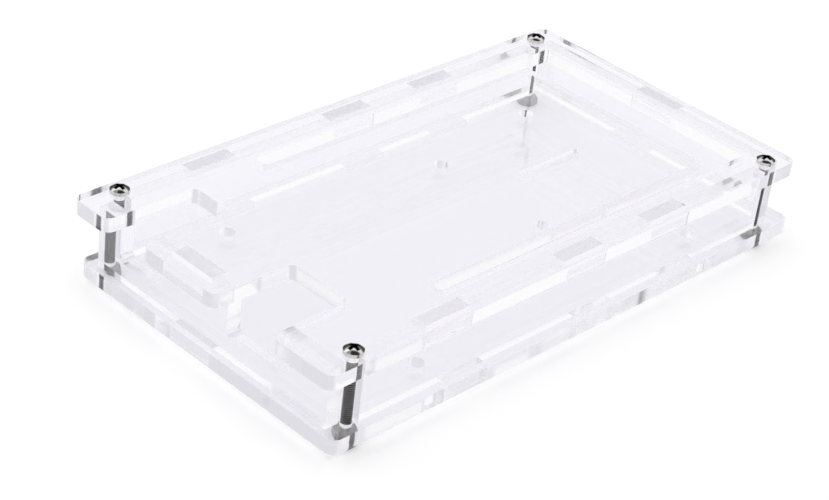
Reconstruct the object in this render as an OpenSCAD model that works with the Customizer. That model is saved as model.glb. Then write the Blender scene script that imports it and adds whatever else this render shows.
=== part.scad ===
// Clear acrylic case for a long 101.6 x 53.3 mm development board.
// Two flat plates trap four tabbed walls; a screw and a nut at each corner clamp the stack.
// The nuts lie under the bottom plate, and the case stands on them.
// Millimetres, Z up. The origin is at the centre of the case, level with the nuts' undersides.
// X runs along the case, and the end with the connector notches is at -X.

/* [Sheet] */
// Thickness of the acrylic sheet that every panel is cut from
sheet = 3; // [2.5:0.1:4]
// Play of a tab in its slot, on each side
tab_play = 0.1; // [0.05:0.05:0.2]

/* [Board] */
// Length of the board that the case holds
board_length = 101.6; // [96:0.1:120]
// Width of the board
board_width = 53.34; // [48:0.02:62]
// Room between the connector wall and the board
connector_room = 8.1; // [6:0.1:10]
// Room between the far wall and the board
far_room = 4.5; // [3:0.1:8]
// Room between a long wall and the board
side_room = 2.73; // [1.5:0.01:5]

/* [Case] */
// Clear height between the plates
bay_height = 11; // [9:0.5:30]
// How far the two plates reach past the end walls, on average
end_overhang = 2.4; // [2.2:0.1:6]
// How far the two plates reach past the long walls
side_overhang = 1.9; // [1.5:0.1:5]
// How far the top plate sits towards the connectors, and the bottom plate away from them
plate_shift = 1; // [0:0.1:1.2]
// Radius of the plates' outer corners
plate_corner = 2; // [1:0.1:3]

/* [Corner screws] */
// Distance from each wall's inner face to the screws, inward at the end walls, outward at the long walls
screw_set = 1.6; // [1.5:0.1:2]
// Diameter over the screws' thread
screw_d = 2; // [1.8:0.1:2.2]
// Diameter of the screws' shank at the root of the thread
root_d = 1.6; // [1.4:0.1:1.7]
// Play of a screw in the plates' holes, across its diameter
screw_play = 0.3; // [0.2:0.1:0.4]
// Diameter of the pan heads
head_d = 3.7; // [3.4:0.1:4.2]
// Height of the pan heads
head_height = 1.3; // [1:0.1:2]
// Width of the nuts across their flats
nut_flats = 4; // [3.6:0.1:4.4]
// Thickness of the nuts
nut_height = 1.6; // [1:0.1:1.8]
// Gap between a shank and its nut's bore, all round
thread_gap = 0.05; // [0.03:0.01:0.1]

/* [Tabs] */
// Length of each tab
tab_length = 10.4; // [8:0.2:12]
// How far a tab's end lies below the plate's outer face
tab_recess = 0.1; // [0:0.05:0.4]

/* [Connector openings] */
// Width of the opening for the power jack
jack_width = 9.8; // [9:0.2:11]
// Middle of the power jack, from the board's rear edge
jack_inset = 7.07; // [6.5:0.01:9]
// Depth of the jack's notch in the top plate
jack_notch = 20.2; // [14:0.2:24]
// Width of the opening for the square data connector
data_width = 14.4; // [12.4:0.2:15]
// Middle of the data connector, from the board's front edge
data_inset = 14.47; // [13:0.01:16]
// Depth of the data connector's notch in the top plate
data_notch = 17.8; // [14:0.2:24]
// Height of the connector wall left under both openings
sill_height = 4.2; // [2:0.2:6]
// Radius of the notches' inner corners
notch_fillet = 1.4; // [0.5:0.1:2]
// Radius of the rounded lips where a notch meets the plate's end
lip_radius = 2; // [0.5:0.1:2]

/* [Header openings] */
// Width of the slots over the two long header rows
row_slot_width = 3.4; // [3:0.1:4]
// Middle of each row slot, from the board's long edge
row_inset = 1.67; // [1:0.01:3]
// Start of the slot over the front row, from the board's connector edge
front_row_start = 18.8; // [14:0.2:26]
// Start of the slot over the rear row, from the board's connector edge
rear_row_start = 21.8; // [14:0.2:26]
// Width of the cross slot over the double row
cross_slot_width = 10.2; // [6:0.2:12]
// Distance from the far wall's inner face to the cross slot
cross_slot_gap = 2.3; // [1:0.1:6]
// Radius of the header slots' corners
slot_fillet = 0.8; // [0.3:0.1:1.4]

/* [Top details] */
// Length of the narrow vent slit in the top plate
slit_length = 16.4; // [10:0.2:22]
// Width of the vent slit
slit_width = 1.2; // [0.8:0.1:2]
// Middle of the slit, from the board's far edge
slit_far_inset = 33.4; // [30:0.2:40]
// Middle of the slit, from the board's front edge
slit_front_inset = 20.3; // [18:0.1:24]

/* [Board fixing] */
// Diameter of the holes that fix the board
board_hole_d = 3.2; // [2.6:0.1:3.6]

/* [Hidden] */
// Air film between two pieces that are clamped together
seat_gap = 0.02;

// Inside of the bay, and the board's edges in it
bay_length = connector_room + board_length + far_room;
bay_width = board_width + 2 * side_room;
end_wall_x = bay_length / 2;
long_wall_y = bay_width / 2;
board_near_x = -end_wall_x + connector_room;
board_far_x = end_wall_x - far_room;
board_rear_y = board_width / 2;

// Outlines of the plates, and their heights
plate_length = bay_length + 2 * (sheet + end_overhang);
plate_width = bay_width + 2 * (sheet + side_overhang);
plate_z = nut_height + seat_gap;
floor_z = plate_z + sheet;
top_z = floor_z + bay_height;
total_height = top_z + sheet;
eps = 0.01;
$fn = 48;

// Places of the screws' axes
screw_x = end_wall_x - screw_set;
screw_y = long_wall_y + screw_set;
screw_places = [for (sx = [-1, 1], sy = [-1, 1]) [sx * screw_x, sy * screw_y]];

// A long wall stops short of the screw that stands between it and the end wall
corner_gap = 0.5;
long_wall_half = screw_x - screw_d / 2 - corner_gap;
// An end wall stops a little short of the line through the screws
end_wall_short = 0.3;
end_wall_half = screw_y - end_wall_short;

// Middles of the tabs along each wall: above, and below
long_tabs_top = [-34.8, 0, 23.6];
long_tabs_bottom = [-29, 5.4, 29.6];
far_tabs_top = [-1.4];
far_tabs_bottom = [3.4];
// The connector wall's upper tab stands between its two openings
jack_y = board_rear_y - jack_inset;
data_y = -board_rear_y + data_inset;
connector_tabs_top = [(jack_y - jack_width / 2 + data_y + data_width / 2) / 2];
connector_tabs_bottom = [3.4];

// Fixing holes of the long board format: two from the connector edge, four from the far edge
board_holes = [[board_near_x + 15.24, -board_rear_y + 2.54], [board_near_x + 13.97, board_rear_y - 2.54],
               [board_far_x - 35.56, -board_rear_y + 17.78], [board_far_x - 35.56, board_rear_y - 7.62],
               [board_far_x - 11.43, -board_rear_y + 2.54], [board_far_x - 5.08, board_rear_y - 2.54]];

slit_place = [board_far_x - slit_far_inset, -board_rear_y + slit_front_inset];

// Shape of a pan head, each against its diameter: dome radius, reach and width of the cross recess
dome_share = 0.85;
cross_share = [0.64, 0.19];

clear = [0.86, 0.87, 0.93, 0.45];
steel = [0.62, 0.61, 0.58];

// Rectangle with true round corners, centred
module round_rect(l, w, r) {
    square([l - 2 * r, w], center = true);
    square([l, w - 2 * r], center = true);
    for (sx = [-1, 1], sy = [-1, 1])
        translate([sx * (l / 2 - r), sy * (w / 2 - r)]) circle(r);
}

// The same, given by its low and high X and Y
module round_window(x0, x1, y0, y1, r)
    translate([(x0 + x1) / 2, (y0 + y1) / 2]) round_rect(x1 - x0, y1 - y0, r);

// What is cut away to round an outside corner at the origin, whose material is at +X +Y
module corner_shave(r)
    difference() {
        translate([-1, -1]) square(r + 1);
        translate([r, r]) circle(r);
    }

// Slot for one tab, its length along X
module tab_slot() square([tab_length + 2 * tab_play, sheet + 2 * tab_play], center = true);

// Slots for the tabs of all four walls
module wall_slots(long_tabs, far_tabs, connector_tabs) {
    for (x = long_tabs, s = [-1, 1])
        translate([x, s * (long_wall_y + sheet / 2)]) tab_slot();
    for (y = far_tabs)
        translate([end_wall_x + sheet / 2, y]) rotate(90) tab_slot();
    for (y = connector_tabs)
        translate([-end_wall_x - sheet / 2, y]) rotate(90) tab_slot();
}

module screw_holes()
    for (p = screw_places) translate(p) circle(d = screw_d + screw_play);

// Notch that opens through the plate's connector end, with rounded lips
module end_notch(y, w, depth) {
    edge = -plate_length / 2 - plate_shift;
    round_window(edge - 2 * notch_fillet, edge + depth, y - w / 2, y + w / 2, notch_fillet);
    for (s = [-1, 1])
        translate([edge, y + s * w / 2]) mirror([0, s < 0 ? 1 : 0]) corner_shave(lip_radius);
}

// One continuous opening over the two header rows and the double row that joins them
module header_opening() {
    cross_end = end_wall_x - cross_slot_gap;
    row_y = board_rear_y - row_inset;
    reach = row_y + row_slot_width / 2;
    round_window(cross_end - cross_slot_width, cross_end, -reach, reach, slot_fillet);
    for (row = [[-row_y, front_row_start], [row_y, rear_row_start]])
        round_window(board_near_x + row[1], cross_end,
                     row[0] - row_slot_width / 2, row[0] + row_slot_width / 2, slot_fillet);
}

module top_plate()
    color(clear) translate([0, 0, top_z]) linear_extrude(sheet) difference() {
        translate([-plate_shift, 0]) round_rect(plate_length, plate_width, plate_corner);
        screw_holes();
        wall_slots(long_tabs_top, far_tabs_top, connector_tabs_top);
        end_notch(jack_y, jack_width, jack_notch);
        end_notch(data_y, data_width, data_notch);
        header_opening();
        translate(slit_place) round_rect(slit_length, slit_width, slit_width / 2 - eps);
    }

module bottom_plate()
    color(clear) translate([0, 0, plate_z]) linear_extrude(sheet) difference() {
        translate([plate_shift, 0]) round_rect(plate_length, plate_width, plate_corner);
        screw_holes();
        wall_slots(long_tabs_bottom, far_tabs_bottom, connector_tabs_bottom);
        for (p = board_holes) translate(p) circle(d = board_hole_d);
    }

// A wall's outline lies in X and Y, its foot on X; its tabs pass into both plates
module wall_outline(half, top_tabs, bottom_tabs) {
    reach = sheet - tab_recess;
    translate([-half, seat_gap]) square([2 * half, bay_height - 2 * seat_gap]);
    for (x = top_tabs) translate([x - tab_length / 2, bay_height - sheet]) square([tab_length, sheet + reach]);
    for (x = bottom_tabs) translate([x - tab_length / 2, -reach]) square([tab_length, reach + sheet]);
}

// Stands an outline up on the bottom plate, along X, its rear face at Y = 0
module stand_up() translate([0, 0, floor_z]) rotate([90, 0, 0]) linear_extrude(sheet) children();

module long_wall() stand_up() wall_outline(long_wall_half, long_tabs_top, long_tabs_bottom);

module front_wall() color(clear) translate([0, -long_wall_y, 0]) long_wall();

module rear_wall() color(clear) translate([0, long_wall_y + sheet, 0]) long_wall();

module far_wall()
    color(clear) translate([end_wall_x, 0, 0]) rotate(90)
        stand_up() wall_outline(end_wall_half, far_tabs_top, far_tabs_bottom);

// The connector wall is open above its sills, where the jack and the data connector pass
module connector_wall()
    color(clear) translate([-end_wall_x - sheet, 0, 0]) rotate(90)
        stand_up() difference() {
            wall_outline(end_wall_half, connector_tabs_top, connector_tabs_bottom);
            for (c = [[jack_y, jack_width], [data_y, data_width]])
                round_window(c[0] - c[1] / 2, c[0] + c[1] / 2,
                             sill_height, bay_height + 2 * notch_fillet, notch_fillet);
        }

// Pan head with a cross recess, on a plain shank at the thread's root
module corner_screw(p) {
    dome = head_d * dome_share;
    color(steel) translate([p[0], p[1], 0]) {
        difference() {
            translate([0, 0, total_height + seat_gap]) intersection() {
                cylinder(d = head_d, h = head_height);
                translate([0, 0, head_height - dome]) sphere(dome);
            }
            translate([0, 0, total_height + seat_gap + head_height]) for (a = [0, 90])
                rotate(a) cube([head_d * cross_share[0], head_d * cross_share[1], head_height], center = true);
        }
        translate([0, 0, thread_gap]) cylinder(d = root_d, h = total_height + seat_gap - thread_gap + eps);
    }
}

// Six-sided nut, its corners turned off at 30 degrees above and below
module corner_nut(p) {
    corner_r = nut_flats / 2 / cos(30);
    chamfer = (corner_r - nut_flats / 2) * tan(30);
    color(steel) translate([p[0], p[1], 0]) difference() {
        intersection() {
            cylinder(r = corner_r, h = nut_height, $fn = 6);
            rotate_extrude() polygon([[0, 0], [nut_flats / 2, 0], [corner_r, chamfer],
                                      [corner_r, nut_height - chamfer], [nut_flats / 2, nut_height], [0, nut_height]]);
        }
        translate([0, 0, -1]) cylinder(d = root_d + 2 * thread_gap, h = nut_height + 2);
    }
}

bottom_plate();
top_plate();
front_wall();
rear_wall();
connector_wall();
far_wall();
corner_screw(screw_places[0]);  // corner_screw_1
corner_screw(screw_places[1]);  // corner_screw_2
corner_screw(screw_places[2]);  // corner_screw_3
corner_screw(screw_places[3]);  // corner_screw_4
corner_nut(screw_places[0]);  // corner_nut_1
corner_nut(screw_places[1]);  // corner_nut_2
corner_nut(screw_places[2]);  // corner_nut_3
corner_nut(screw_places[3]);  // corner_nut_4
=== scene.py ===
import math

import bpy
from mathutils import Euler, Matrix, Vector


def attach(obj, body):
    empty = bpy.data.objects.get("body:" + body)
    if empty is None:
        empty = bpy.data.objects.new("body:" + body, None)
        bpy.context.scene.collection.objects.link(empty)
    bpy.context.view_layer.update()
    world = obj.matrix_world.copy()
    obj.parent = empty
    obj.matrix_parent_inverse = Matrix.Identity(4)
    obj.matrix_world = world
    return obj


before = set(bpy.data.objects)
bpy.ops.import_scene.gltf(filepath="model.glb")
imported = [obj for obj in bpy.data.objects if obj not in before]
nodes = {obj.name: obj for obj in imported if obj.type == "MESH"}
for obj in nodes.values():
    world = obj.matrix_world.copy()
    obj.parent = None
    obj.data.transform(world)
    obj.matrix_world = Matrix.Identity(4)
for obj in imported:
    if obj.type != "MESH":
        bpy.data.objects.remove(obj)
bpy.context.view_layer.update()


# Bottom plate: a flat sheet of 3 mm clear cast acrylic, cut by laser with slots for the
# walls' tabs and six holes for the board. Its faces are polished and water-clear, with a
# faint cool tint, and its cut edges are a little duller, with fine upright laser ridges.
def acrylic(name, thin_axis, seed):
    mat = bpy.data.materials.new(name)
    mat.use_nodes = True
    tree = mat.node_tree
    tree.nodes.clear()
    new, link = tree.nodes.new, tree.links.new

    coords = new("ShaderNodeTexCoord")
    across = new("ShaderNodeSeparateXYZ")
    link(coords.outputs["Normal"], across.inputs[0])
    facing = new("ShaderNodeMath")
    facing.operation = "ABSOLUTE"
    link(across.outputs[thin_axis], facing.inputs[0])
    cut_edge = new("ShaderNodeMath")
    cut_edge.operation = "LESS_THAN"
    cut_edge.inputs[1].default_value = 0.5
    link(facing.outputs[0], cut_edge.inputs[0])

    # Laser ridges run through the sheet's thickness, so the pattern doesn't change along it
    stretch = new("ShaderNodeVectorMath")
    stretch.operation = "MULTIPLY"
    stretch.inputs[1].default_value = [0.0 if axis == thin_axis else 1.0 for axis in "XYZ"]
    link(coords.outputs["Object"], stretch.inputs[0])
    ridges = new("ShaderNodeTexNoise")
    ridges.noise_dimensions = "4D"
    ridges.inputs["W"].default_value = seed
    ridges.inputs["Scale"].default_value = 1500.0
    ridges.inputs["Detail"].default_value = 2.0
    link(stretch.outputs[0], ridges.inputs["Vector"])
    ridge_depth = new("ShaderNodeMath")
    ridge_depth.operation = "MULTIPLY"
    link(ridges.outputs["Fac"], ridge_depth.inputs[0])
    link(cut_edge.outputs[0], ridge_depth.inputs[1])
    bump = new("ShaderNodeBump")
    bump.inputs["Strength"].default_value = 0.25
    bump.inputs["Distance"].default_value = 0.00004
    link(ridge_depth.outputs[0], bump.inputs["Height"])

    roughness = new("ShaderNodeMath")
    roughness.operation = "MULTIPLY"
    roughness.inputs[1].default_value = 0.12
    link(cut_edge.outputs[0], roughness.inputs[0])

    # Light loses a little of its warmth and strength with each millimetre inside the sheet
    path = new("ShaderNodeLightPath")
    geometry = new("ShaderNodeNewGeometry")
    loss = new("ShaderNodeVectorMath")
    loss.operation = "SCALE"
    loss.inputs[0].default_value = (-0.35, -0.36, -0.28)
    inside = new("ShaderNodeMath")
    inside.operation = "MULTIPLY"
    link(path.outputs["Ray Length"], inside.inputs[0])
    link(geometry.outputs["Backfacing"], inside.inputs[1])
    link(inside.outputs[0], loss.inputs["Scale"])
    channels = new("ShaderNodeSeparateXYZ")
    link(loss.outputs[0], channels.inputs[0])
    tint = new("ShaderNodeCombineColor")
    for i, axis in enumerate("XYZ"):
        left = new("ShaderNodeMath")
        left.operation = "EXPONENT"
        link(channels.outputs[axis], left.inputs[0])
        link(left.outputs[0], tint.inputs[i])

    glass = new("ShaderNodeBsdfGlass")
    glass.distribution = "GGX"
    glass.inputs["IOR"].default_value = 1.49
    link(tint.outputs[0], glass.inputs["Color"])
    link(roughness.outputs[0], glass.inputs["Roughness"])
    link(bump.outputs[0], glass.inputs["Normal"])

    # Shadow rays pass in part, so that the case throws only a pale shadow
    clear = new("ShaderNodeBsdfTransparent")
    clear.inputs["Color"].default_value = (0.2, 0.2, 0.2, 1)
    mix = new("ShaderNodeMixShader")
    link(path.outputs["Is Shadow Ray"], mix.inputs[0])
    link(glass.outputs[0], mix.inputs[1])
    link(clear.outputs[0], mix.inputs[2])

    # Paths still in the sheet after 16 bounces end on a painted glow: an even pale emission that
    # stands in for the light they would carry
    caught = new("ShaderNodeMath")
    caught.operation = "GREATER_THAN"
    caught.inputs[1].default_value = 16.0
    link(path.outputs["Ray Depth"], caught.inputs[0])
    painted_glow = new("ShaderNodeEmission")
    painted_glow.inputs["Color"].default_value = (0.76, 0.755, 0.80, 1)
    whole = new("ShaderNodeMixShader")
    link(caught.outputs[0], whole.inputs[0])
    link(mix.outputs[0], whole.inputs[1])
    link(painted_glow.outputs[0], whole.inputs[2])
    out = new("ShaderNodeOutputMaterial")
    link(whole.outputs[0], out.inputs["Surface"])
    return mat


nodes["bottom_plate"].material_slots[0].material = acrylic("plate_acrylic", "Z", 1.0)

# Long walls: two strips of the same sheet, each with three tabs above and three below.
# They stop short of the corner screws, so the screws stand in the open between the panels.
for seed, name in enumerate(["front_wall", "rear_wall"]):
    nodes[name].material_slots[0].material = acrylic(name + "_acrylic", "Y", 3.0 + seed)

# End walls: two shorter strips with one tab above and one below. The connector wall is cut
# down to a sill under the power jack and the data connector.
for seed, name in enumerate(["connector_wall", "far_wall"]):
    nodes[name].material_slots[0].material = acrylic(name + "_acrylic", "X", 6.0 + seed)

# Top plate: the same sheet, with two round-lipped notches at the connector end and one
# U-shaped opening over the header rows.
nodes["top_plate"].material_slots[0].material = acrylic("top_plate_acrylic", "Z", 9.0)


# Corner screws: M2 pan heads of bright nickel-plated steel, cold-headed and rolled. The cross
# recess is painted near black as painted shade.
screw_x, screw_y = 0.0555, 0.031
def plated_steel(name, base, roughness, grain):
    mat = bpy.data.materials.new(name)
    mat.use_nodes = True
    tree = mat.node_tree
    new, link = tree.nodes.new, tree.links.new
    shader = tree.nodes["Principled BSDF"]
    shader.inputs["Metallic"].default_value = 1.0
    coords = new("ShaderNodeTexCoord")
    flecks = new("ShaderNodeTexNoise")
    flecks.inputs["Scale"].default_value = grain
    flecks.inputs["Detail"].default_value = 3.0
    link(coords.outputs["Object"], flecks.inputs["Vector"])
    wear = new("ShaderNodeMapRange")
    wear.inputs["To Min"].default_value = roughness * 0.7
    wear.inputs["To Max"].default_value = roughness * 1.4
    link(flecks.outputs["Fac"], wear.inputs["Value"])
    link(wear.outputs[0], shader.inputs["Roughness"])
    tarnish = new("ShaderNodeMix")
    tarnish.data_type = "RGBA"
    tarnish.inputs["A"].default_value = [*base, 1]
    tarnish.inputs["B"].default_value = [0.82 * c for c in base] + [1]
    link(flecks.outputs["Fac"], tarnish.inputs["Factor"])
    link(tarnish.outputs["Result"], shader.inputs["Base Color"])
    return mat


# Painted shade in hollows of the metal: the base colour turns to a dark shade colour within one
# distance from the screw's axis, and stays unshaded from another. With a floor height given, what
# stands above that height is unshaded as well.
def painted_shade_in_hollows(mat, dark_at, unshaded_at, shade_colour, floor_at=None):
    tree = mat.node_tree
    new, link = tree.nodes.new, tree.links.new
    shader = tree.nodes["Principled BSDF"]
    coords = new("ShaderNodeTexCoord")
    folded = new("ShaderNodeVectorMath")
    folded.operation = "ABSOLUTE"
    link(coords.outputs["Object"], folded.inputs[0])
    around = new("ShaderNodeVectorMath")
    around.operation = "SUBTRACT"
    around.inputs[1].default_value = (screw_x, screw_y, 0.0)
    link(folded.outputs[0], around.inputs[0])
    flat = new("ShaderNodeVectorMath")
    flat.operation = "MULTIPLY"
    flat.inputs[1].default_value = (1, 1, 0)
    link(around.outputs[0], flat.inputs[0])
    radius = new("ShaderNodeVectorMath")
    radius.operation = "LENGTH"
    link(flat.outputs[0], radius.inputs[0])
    share = new("ShaderNodeMapRange")
    share.inputs["From Min"].default_value = dark_at
    share.inputs["From Max"].default_value = unshaded_at
    link(radius.outputs["Value"], share.inputs["Value"])
    unshaded = share.outputs[0]
    ramp_height = 0.0002
    if floor_at is not None:
        height = new("ShaderNodeSeparateXYZ")
        link(coords.outputs["Object"], height.inputs[0])
        raised = new("ShaderNodeMapRange")
        raised.inputs["From Min"].default_value = floor_at
        raised.inputs["From Max"].default_value = floor_at + ramp_height
        link(height.outputs["Z"], raised.inputs["Value"])
        either = new("ShaderNodeMath")
        either.operation = "MAXIMUM"
        link(unshaded, either.inputs[0])
        link(raised.outputs[0], either.inputs[1])
        unshaded = either.outputs[0]
    metal = shader.inputs["Base Color"].links[0].from_socket
    # Painted shade: where the mask is low, the metal's base colour turns to the dark shade colour
    painted_shade = new("ShaderNodeMix")
    painted_shade.data_type = "RGBA"
    painted_shade.inputs["A"].default_value = [*shade_colour, 1]
    link(unshaded, painted_shade.inputs["Factor"])
    link(metal, painted_shade.inputs["B"])
    link(painted_shade.outputs["Result"], shader.inputs["Base Color"])


head_steel = plated_steel("head_steel", (0.72, 0.71, 0.69), 0.10, 900.0)
# Painted shade: near black within 1.1 mm of each screw's axis below 19.45 mm, which darkens the
# cross recess and the shank
painted_shade_in_hollows(head_steel, 0.0011, 0.0012, (0.03, 0.03, 0.03), floor_at=0.01945)
for corner in "1234":
    nodes["corner_screw_" + corner].material_slots[0].material = head_steel

# Threads: one rolled ridge, 0.4 mm in pitch, from the nut's top to under the head of each
# screw. The steel is dull here; its base colour is darker than the heads' as painted shade, and
# painted shade makes it near black between the crests.
# Painted shade: a darker copy of the heads' plated steel, painted near black at the roots between
# the crests
thread_steel = plated_steel("thread_steel", (0.50, 0.49, 0.47), 0.22, 2500.0)
painted_shade_in_hollows(thread_steel, 0.00088, 0.00099, (0.02, 0.019, 0.018))
group = bpy.data.node_groups.new("screw_threads", "GeometryNodeTree")
face = group.interface
face.new_socket("Geometry", in_out="INPUT", socket_type="NodeSocketGeometry")
face.new_socket("Geometry", in_out="OUTPUT", socket_type="NodeSocketGeometry")
sizes = {}
for label, kind, value in [("Pitch", "NodeSocketFloat", 0.0004),
                           ("Turns", "NodeSocketFloat", 41.25),
                           ("Root Radius", "NodeSocketFloat", 0.0008),
                           ("Crest Radius", "NodeSocketFloat", 0.001),
                           ("Screw Pitch X", "NodeSocketFloat", 2 * screw_x),
                           ("Screw Pitch Y", "NodeSocketFloat", 2 * screw_y),
                           ("Foot", "NodeSocketFloat", 0.00185),
                           ("Material", "NodeSocketMaterial", thread_steel)]:
    socket = face.new_socket(label, in_out="INPUT", socket_type=kind)
    sizes[label] = (socket.identifier, value)
new, link = group.nodes.new, group.links.new
given, result = new("NodeGroupInput"), new("NodeGroupOutput")
height = new("ShaderNodeMath")
height.operation = "MULTIPLY"
link(given.outputs["Pitch"], height.inputs[0])
link(given.outputs["Turns"], height.inputs[1])
spiral = new("GeometryNodeCurveSpiral")
spiral.inputs["Resolution"].default_value = 20
link(given.outputs["Turns"], spiral.inputs["Rotations"])
link(given.outputs["Root Radius"], spiral.inputs["Start Radius"])
link(given.outputs["Root Radius"], spiral.inputs["End Radius"])
link(height.outputs[0], spiral.inputs["Height"])
upright = new("GeometryNodeSetCurveNormal")
upright.mode = "Z_UP"
link(spiral.outputs[0], upright.inputs["Curve"])
depth = new("ShaderNodeMath")
depth.operation = "SUBTRACT"
link(given.outputs["Crest Radius"], depth.inputs[0])
link(given.outputs["Root Radius"], depth.inputs[1])
diamond = new("GeometryNodeCurvePrimitiveCircle")
diamond.inputs["Resolution"].default_value = 4
link(depth.outputs[0], diamond.inputs["Radius"])
ridge = new("GeometryNodeCurveToMesh")
link(upright.outputs[0], ridge.inputs["Curve"])
link(diamond.outputs[0], ridge.inputs["Profile Curve"])
corners = new("GeometryNodeMeshGrid")
corners.inputs["Vertices X"].default_value = 2
corners.inputs["Vertices Y"].default_value = 2
link(given.outputs["Screw Pitch X"], corners.inputs["Size X"])
link(given.outputs["Screw Pitch Y"], corners.inputs["Size Y"])
lift = new("ShaderNodeCombineXYZ")
link(given.outputs["Foot"], lift.inputs["Z"])
raised = new("GeometryNodeTransform")
link(corners.outputs["Mesh"], raised.inputs["Geometry"])
link(lift.outputs[0], raised.inputs["Translation"])
each = new("GeometryNodeInstanceOnPoints")
link(raised.outputs[0], each.inputs["Points"])
link(ridge.outputs[0], each.inputs["Instance"])
real = new("GeometryNodeRealizeInstances")
link(each.outputs[0], real.inputs[0])
painted = new("GeometryNodeSetMaterial")
link(real.outputs[0], painted.inputs["Geometry"])
link(given.outputs["Material"], painted.inputs["Material"])
link(painted.outputs[0], result.inputs[0])
holder = bpy.data.objects.new("thread_holder", bpy.data.meshes.new("thread_holder"))
bpy.context.scene.collection.objects.link(holder)
maker = holder.modifiers.new("threads", "NODES")
maker.node_group = group
for identifier, value in sizes.values():
    maker[identifier] = value
mesh = bpy.data.meshes.new_from_object(holder.evaluated_get(bpy.context.evaluated_depsgraph_get()))
holder.modifiers.remove(maker)
bpy.data.objects.remove(holder)
threads = bpy.data.objects.new("screw_threads", mesh)
bpy.context.scene.collection.objects.link(threads)
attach(threads, "root")

# Corner nuts: small six-sided steel nuts under the bottom plate, which the case stands on.
nut_steel = plated_steel("nut_steel", (0.30, 0.295, 0.285), 0.13, 1400.0)
for corner in "1234":
    nodes["corner_nut_" + corner].material_slots[0].material = nut_steel

# Floor: a plain pale table top, wide enough to fill the picture
bpy.ops.mesh.primitive_plane_add(size=6.0)
floor = bpy.context.active_object
floor.name = "floor"
floor_mat = bpy.data.materials.new("floor_white")
floor_mat.use_nodes = True
floor_shader = floor_mat.node_tree.nodes["Principled BSDF"]
floor_path = floor_mat.node_tree.nodes.new("ShaderNodeLightPath")
floor_tone = floor_mat.node_tree.nodes.new("ShaderNodeMix")
floor_tone.data_type = "RGBA"
floor_tone.inputs["A"].default_value = (0.865, 0.857, 0.90, 1)
floor_tone.inputs["B"].default_value = (0.97, 0.97, 0.97, 1)
floor_mat.node_tree.links.new(floor_path.outputs["Is Camera Ray"], floor_tone.inputs["Factor"])
floor_mat.node_tree.links.new(floor_tone.outputs["Result"], floor_shader.inputs["Base Color"])
floor_shader.inputs["Roughness"].default_value = 1.0
floor_shader.inputs["Specular IOR Level"].default_value = 0.0
floor.data.materials.append(floor_mat)

# Light: a white tent, so that light comes from all round. Clear acrylic sees it a little dimmer
# low down, which gives the cut edges their grey. Steel sees a bright roof above dark walls, so
# the plated heads get the hard contrast of bright metal.
world = bpy.data.worlds.new("tent")
bpy.context.scene.world = world
world.use_nodes = True
tree = world.node_tree
tree.nodes.clear()
new, link = tree.nodes.new, tree.links.new
path = new("ShaderNodeLightPath")
coords = new("ShaderNodeTexCoord")
split = new("ShaderNodeSeparateXYZ")
link(coords.outputs["Generated"], split.inputs[0])
polished = new("ShaderNodeMath")
polished.operation = "MAXIMUM"
link(path.outputs["Is Singular Ray"], polished.inputs[0])
link(path.outputs["Is Transmission Ray"], polished.inputs[1])
# The tent is open, and dark, on the side that the picture is taken from
opening_side = (-0.640, -0.554, 0.532)
towards_opening = new("ShaderNodeVectorMath")
towards_opening.operation = "DOT_PRODUCT"
towards_opening.inputs[1].default_value = opening_side
link(coords.outputs["Generated"], towards_opening.inputs[0])
opening = new("ShaderNodeMapRange")
for label, value in [("From Min", 0.20), ("From Max", 0.36), ("To Min", 1.0), ("To Max", 0.03)]:
    opening.inputs[label].default_value = value
link(towards_opening.outputs["Value"], opening.inputs["Value"])


def brightness_by_height(stops):
    band = new("ShaderNodeValToRGB")
    ramp = band.color_ramp
    for element, (place, value) in zip(ramp.elements, [stops[0], stops[-1]]):
        element.position, element.color = place, (value, value, value * 1.01, 1)
    for place, value in stops[1:-1]:
        ramp.elements.new(place).color = (value, value, value * 1.01, 1)
    link(split.outputs["Z"], band.inputs[0])
    return band.outputs[0]


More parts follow.
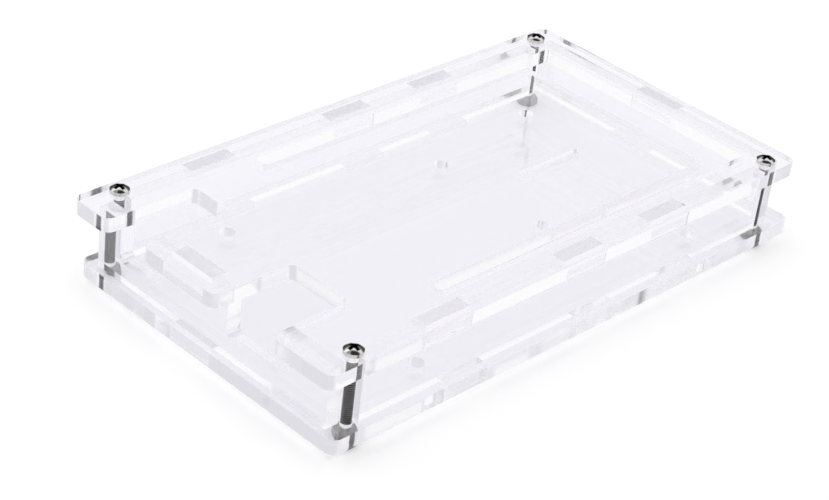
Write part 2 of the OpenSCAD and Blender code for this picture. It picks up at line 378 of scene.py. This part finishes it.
steel_sees = new("ShaderNodeVectorMath")
steel_sees.operation = "SCALE"
link(brightness_by_height([(0.0, 0.06), (0.35, 0.08), (0.55, 0.2), (0.66, 1.1), (1.0, 1.15)]),
     steel_sees.inputs[0])
link(opening.outputs[0], steel_sees.inputs["Scale"])
with_steel = new("ShaderNodeMix")
with_steel.data_type = "RGBA"
with_steel.inputs["A"].default_value = (1.06, 1.06, 1.06, 1)
link(path.outputs["Is Glossy Ray"], with_steel.inputs["Factor"])
link(steel_sees.outputs[0], with_steel.inputs["B"])
with_acrylic = new("ShaderNodeMix")
with_acrylic.data_type = "RGBA"
link(polished.outputs[0], with_acrylic.inputs["Factor"])
link(with_steel.outputs["Result"], with_acrylic.inputs["A"])
link(brightness_by_height([(0.0, 0.84), (0.35, 0.97), (1.0, 1.02)]), with_acrylic.inputs["B"])
sky = new("ShaderNodeBackground")
link(with_acrylic.outputs["Result"], sky.inputs["Color"])
out = new("ShaderNodeOutputWorld")
link(sky.outputs[0], out.inputs[0])

key_data = bpy.data.lights.new("key", "AREA")
key_data.size = 0.5
key_data.energy = 0.3
key = bpy.data.objects.new("key", key_data)
bpy.context.scene.collection.objects.link(key)
key.location = (-0.25, 0.35, 0.75)
key.rotation_mode = "QUATERNION"
key.rotation_quaternion = (key.location - Vector((0, 0, 0.01))).to_track_quat("Z", "Y")

# Camera: a long lens, from above the connector end and the front
camera_data = bpy.data.cameras.new("camera")
camera_data.sensor_width = 36.0
camera_data.lens = 95.25
camera_data.clip_start = 0.01
camera = bpy.data.objects.new("camera", camera_data)
bpy.context.scene.collection.objects.link(camera)
camera.location = (-0.27131, -0.23489, 0.22346)
camera.rotation_euler = Euler([math.radians(a) for a in (58.038, -6.031, -44.394)])
bpy.context.scene.camera = camera

scene = bpy.context.scene
scene.view_settings.view_transform = "Standard"
scene.cycles.max_bounces = 40
scene.cycles.transmission_bounces = 40
scene.cycles.glossy_bounces = 40
scene.cycles.transparent_max_bounces = 24
scene.cycles.blur_glossy = 0.0
scene.cycles.caustics_refractive = True
scene.cycles.caustics_reflective = True
